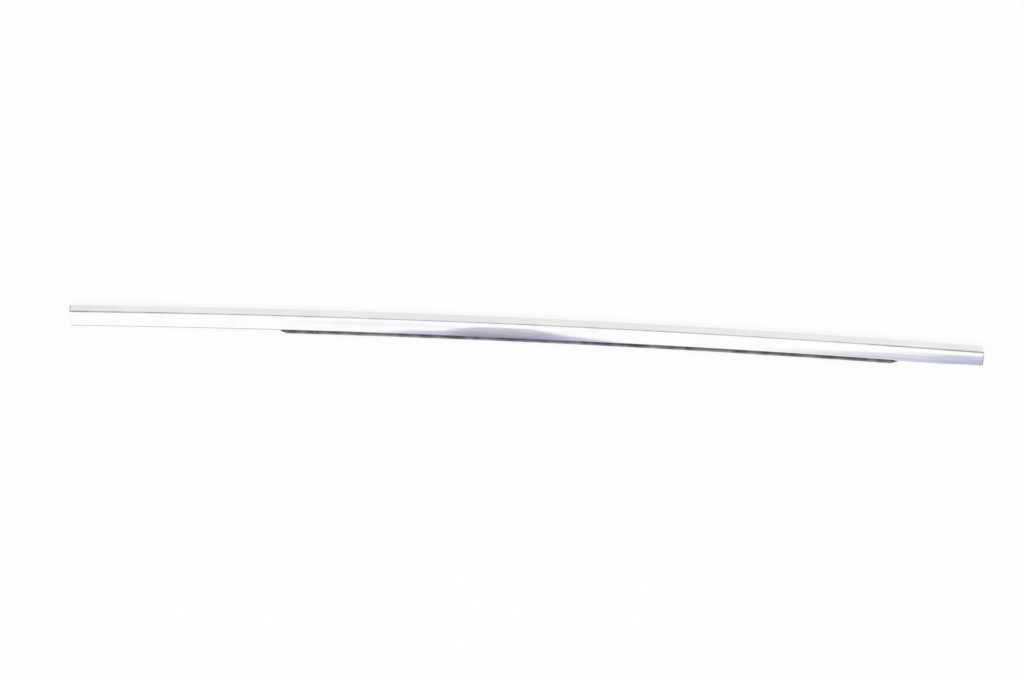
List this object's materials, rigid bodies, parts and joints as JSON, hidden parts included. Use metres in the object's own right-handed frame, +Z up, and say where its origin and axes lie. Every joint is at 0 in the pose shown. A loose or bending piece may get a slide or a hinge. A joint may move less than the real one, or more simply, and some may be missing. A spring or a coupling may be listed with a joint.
{
  "type": "car door window belt moulding",
  "caption": "Long, slightly bowed bright metal window trim strip with a stepped face, folded ends and a black rubber seal with a wiper lip.",
  "frame": {"origin": "bottom centre of the whole part's box: the middle of its length and width, on the flat back of the rubber seal", "axes": "+X along the strip, from the end where the wiper lip starts far in to the end where it runs closer; +Y across the strip, from the wiper lip's side to the mouth of the flange channel, which is also the way the strip bows; +Z up out of the bright visible face"},
  "size_m": [1.0012, 0.0311, 0.0139],
  "materials": {
    "bright_metal": "polished stainless sheet, mirror bright with faint lengthwise polishing lines",
    "black_rubber": "matte extruded rubber"
  },
  "bodies": {
    "root": {"bright_strip": "bright_metal", "rubber_seal": "black_rubber"}
  },
  "joints": []
}
